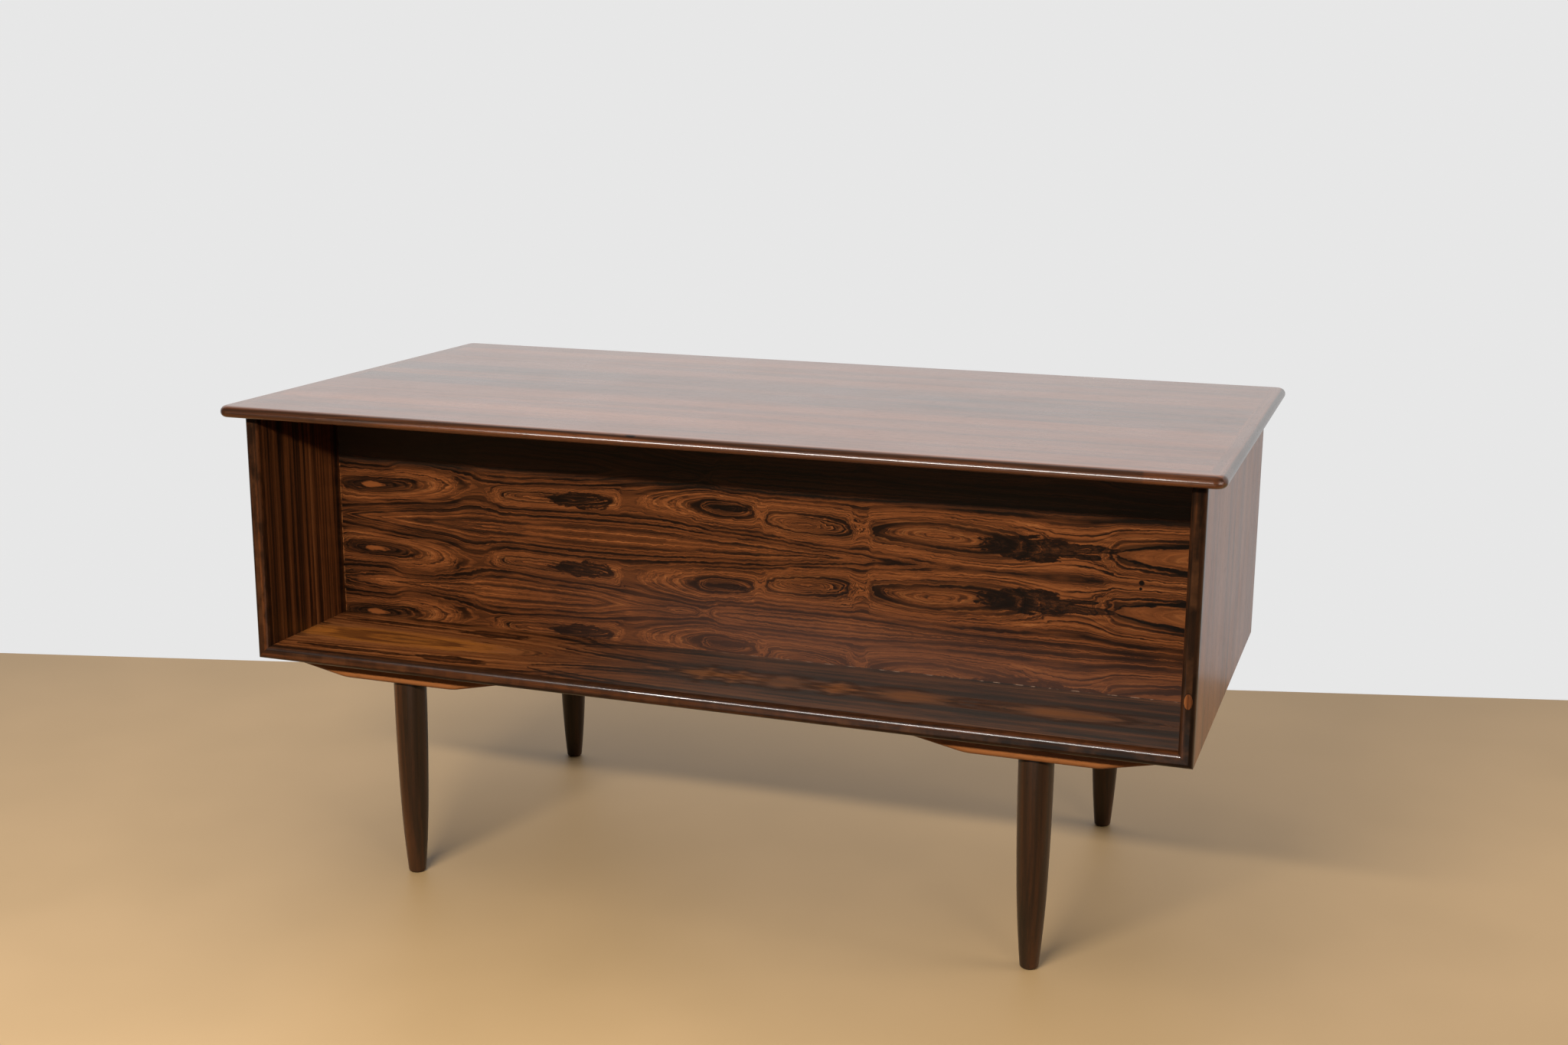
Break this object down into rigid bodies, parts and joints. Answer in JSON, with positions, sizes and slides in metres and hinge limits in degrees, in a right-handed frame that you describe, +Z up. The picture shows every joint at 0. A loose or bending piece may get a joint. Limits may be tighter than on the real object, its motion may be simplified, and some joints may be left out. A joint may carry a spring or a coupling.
{
  "type": "pedestal desk",
  "caption": "Free-standing rosewood desk with an open niche on the visitor's side, drawer pedestals beside a kneehole on the user's side, and turned tapered legs on boat-shaped cleats.",
  "frame": {"origin": "on the floor under the middle of the top", "axes": "+X along the desk, +Y towards the person who sits at it, +Z up"},
  "size_m": [1.452, 0.764, 0.732],
  "materials": {
    "rosewood_veneer": "satin lacquered rosewood veneer",
    "rosewood_solid": "satin lacquered solid rosewood",
    "cleat_wood": "oiled hardwood",
    "drawer_wood": "lacquered pale hardwood",
    "drawer_ply": "sanded plywood",
    "runner_wood": "waxed hardwood",
    "steel": "plain steel"
  },
  "bodies": {
    "case": {"top_panel": "rosewood_veneer", "top_lipping_visitor": "rosewood_solid", "top_lipping_right": "rosewood_solid", "top_lipping_user": "rosewood_solid", "top_lipping_left": "rosewood_solid", "left_case_side": "rosewood_veneer", "left_niche_lipping": "rosewood_solid", "right_case_side": "rosewood_veneer", "right_niche_lipping": "rosewood_solid", "lipping_plug": "rosewood_solid", "niche_floor": "rosewood_veneer", "niche_floor_lipping": "rosewood_solid", "niche_back": "rosewood_veneer", "left_kneehole_wall": "rosewood_veneer", "left_pedestal_floor": "rosewood_veneer", "left_user_lippings": "rosewood_solid", "right_kneehole_wall": "rosewood_veneer", "right_pedestal_floor": "rosewood_veneer", "right_user_lippings": "rosewood_solid", "visitor_left_cleat": "cleat_wood", "visitor_left_leg": "rosewood_solid", "visitor_right_cleat": "cleat_wood", "visitor_right_leg": "rosewood_solid", "user_left_cleat": "cleat_wood", "user_left_leg": "rosewood_solid", "user_right_cleat": "cleat_wood", "user_right_leg": "rosewood_solid", "leg_bolts": "steel", "cleat_screws": "steel", "drawer_runners": "runner_wood"},
    "left_lower_drawer": {"left_lower_drawer_front": "rosewood_veneer", "left_lower_drawer_sides": "drawer_wood", "left_lower_drawer_back": "drawer_wood", "left_lower_drawer_bottom": "drawer_ply", "left_lower_drawer_knob": "rosewood_solid"},
    "left_middle_drawer": {"left_middle_drawer_front": "rosewood_veneer", "left_middle_drawer_sides": "drawer_wood", "left_middle_drawer_back": "drawer_wood", "left_middle_drawer_bottom": "drawer_ply", "left_middle_drawer_knob": "rosewood_solid"},
    "left_upper_drawer": {"left_upper_drawer_front": "rosewood_veneer", "left_upper_drawer_sides": "drawer_wood", "left_upper_drawer_back": "drawer_wood", "left_upper_drawer_bottom": "drawer_ply", "left_upper_drawer_knob": "rosewood_solid"},
    "right_lower_drawer": {"right_lower_drawer_front": "rosewood_veneer", "right_lower_drawer_sides": "drawer_wood", "right_lower_drawer_back": "drawer_wood", "right_lower_drawer_bottom": "drawer_ply", "right_lower_drawer_knob": "rosewood_solid"},
    "right_middle_drawer": {"right_middle_drawer_front": "rosewood_veneer", "right_middle_drawer_sides": "drawer_wood", "right_middle_drawer_back": "drawer_wood", "right_middle_drawer_bottom": "drawer_ply", "right_middle_drawer_knob": "rosewood_solid"},
    "right_upper_drawer": {"right_upper_drawer_front": "rosewood_veneer", "right_upper_drawer_sides": "drawer_wood", "right_upper_drawer_back": "drawer_wood", "right_upper_drawer_bottom": "drawer_ply", "right_upper_drawer_knob": "rosewood_solid"}
  },
  "joints": [
    {"name": "left_lower_drawer_slide", "type": "slide", "parent": "case", "child": "left_lower_drawer", "axis": [0, 1, 0], "range_m": [0, 0.32]},
    {"name": "left_middle_drawer_slide", "type": "slide", "parent": "case", "child": "left_middle_drawer", "axis": [0, 1, 0], "range_m": [0, 0.32]},
    {"name": "left_upper_drawer_slide", "type": "slide", "parent": "case", "child": "left_upper_drawer", "axis": [0, 1, 0], "range_m": [0, 0.32]},
    {"name": "right_lower_drawer_slide", "type": "slide", "parent": "case", "child": "right_lower_drawer", "axis": [0, 1, 0], "range_m": [0, 0.32]},
    {"name": "right_middle_drawer_slide", "type": "slide", "parent": "case", "child": "right_middle_drawer", "axis": [0, 1, 0], "range_m": [0, 0.32]},
    {"name": "right_upper_drawer_slide", "type": "slide", "parent": "case", "child": "right_upper_drawer", "axis": [0, 1, 0], "range_m": [0, 0.32]}
  ]
}
